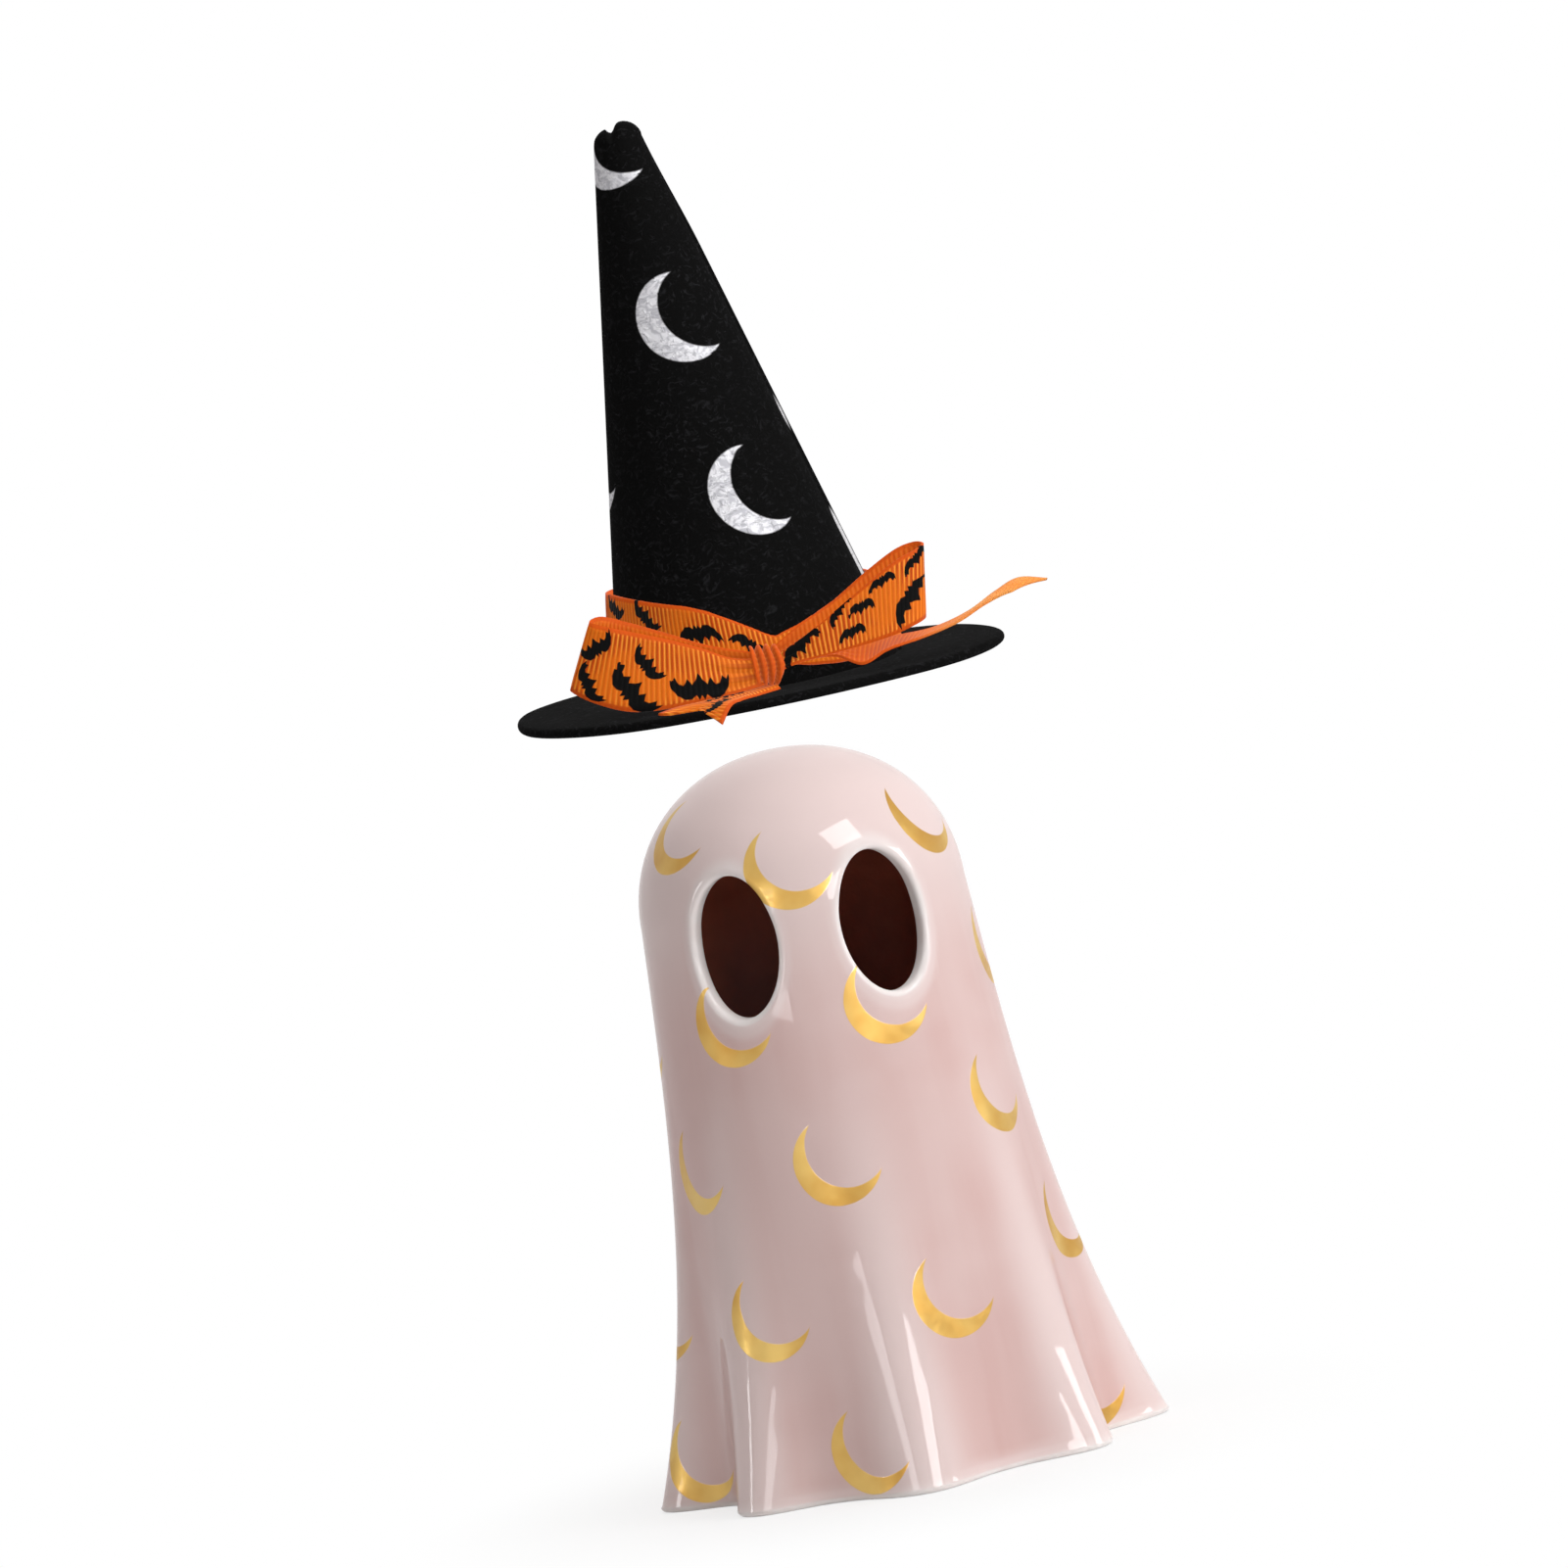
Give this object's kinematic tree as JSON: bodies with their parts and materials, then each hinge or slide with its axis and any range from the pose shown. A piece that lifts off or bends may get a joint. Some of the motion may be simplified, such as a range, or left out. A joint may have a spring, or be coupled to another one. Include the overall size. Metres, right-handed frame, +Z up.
{
  "type": "ceramic ghost figure",
  "caption": "Draped ghost figure of glazed ceramic, hollow and open below with oval eye holes, and a pointed felt hat with a ribbon bow that lifts straight off its head.",
  "frame": {"origin": "middle of the foot ring, on the surface the figure stands on", "axes": "+Z up, the face looks along -Y, +X is to the viewer's right"},
  "size_m": [0.1016, 0.0924, 0.2536],
  "materials": {
    "glaze": "pale pink gloss glaze with gold lustre crescents, unglazed inside",
    "felt": "black pressed felt with silver printed crescents",
    "ribbon": "orange ribbed grosgrain with a black bat print"
  },
  "bodies": {
    "ghost": {"ghost_body": "glaze"},
    "hat": {"hat_cone": "felt", "hat_brim": "felt", "ribbon_band": "ribbon", "bow_knot": "ribbon", "bow_left_loop": "ribbon", "bow_right_loop": "ribbon", "bow_left_tail": "ribbon", "bow_right_tail": "ribbon"}
  },
  "joints": [
    {"name": "hat_lift", "type": "slide", "parent": "ghost", "child": "hat", "axis": [0, 0, 1], "range_m": [-0.0228, 0.06]}
  ]
}
